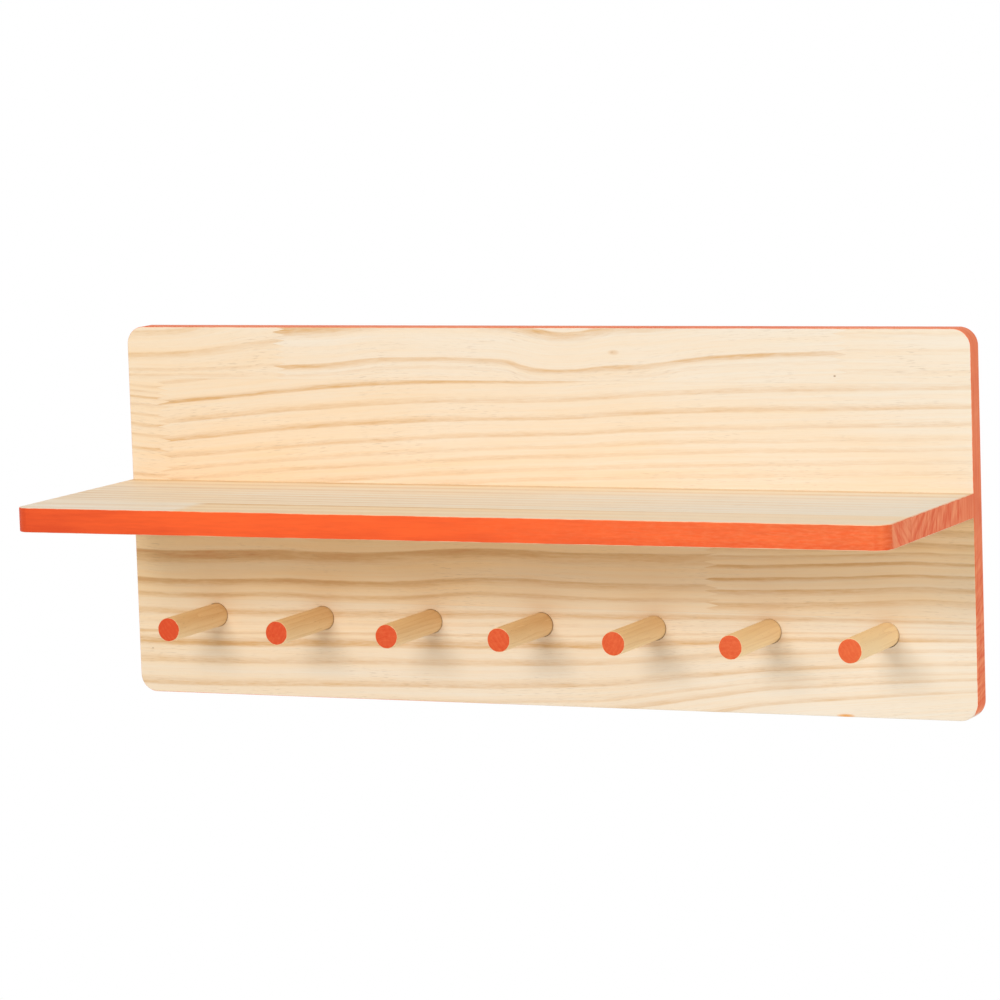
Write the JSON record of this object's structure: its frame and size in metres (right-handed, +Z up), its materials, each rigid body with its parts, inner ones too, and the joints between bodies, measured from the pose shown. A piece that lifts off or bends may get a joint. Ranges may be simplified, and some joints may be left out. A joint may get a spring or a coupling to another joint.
{
  "type": "peg rail with shelf",
  "caption": "Wall-hung pine board with a deep flat shelf across its middle, a row of plain round pegs below it and edges finished in orange paint.",
  "frame": {"origin": "centre of the back board's rear face, which lies on the wall", "axes": "+X to the right as seen from the front, +Y into the wall, +Z up; the shelf and the pegs stand out towards -Y"},
  "size_m": [0.6, 0.18, 0.25],
  "materials": {
    "back_board_pine": "clear matt lacquer on the faces, thin orange paint on the edges",
    "shelf_pine": "clear matt lacquer on the faces, thin orange paint on the edges",
    "peg_wood": "clear matt lacquer, orange paint on the front end",
    "dowel_beech": "bare, fluted",
    "hanger_steel": "bright zinc plate",
    "screw_steel": "yellow zinc plate"
  },
  "bodies": {
    "root": {"back_board": "back_board_pine", "shelf_board": "shelf_pine", "peg_1": "peg_wood", "peg_2": "peg_wood", "peg_3": "peg_wood", "peg_4": "peg_wood", "peg_5": "peg_wood", "peg_6": "peg_wood", "peg_7": "peg_wood", "shelf_screw_1": "screw_steel", "shelf_screw_2": "screw_steel", "shelf_screw_3": "screw_steel", "shelf_screw_4": "screw_steel", "shelf_dowel_1": "dowel_beech", "shelf_dowel_2": "dowel_beech", "shelf_dowel_3": "dowel_beech", "hanger_plate_left": "hanger_steel", "hanger_plate_right": "hanger_steel", "hanger_screw_left_upper": "screw_steel", "hanger_screw_left_lower": "screw_steel", "hanger_screw_right_upper": "screw_steel", "hanger_screw_right_lower": "screw_steel"}
  },
  "joints": []
}
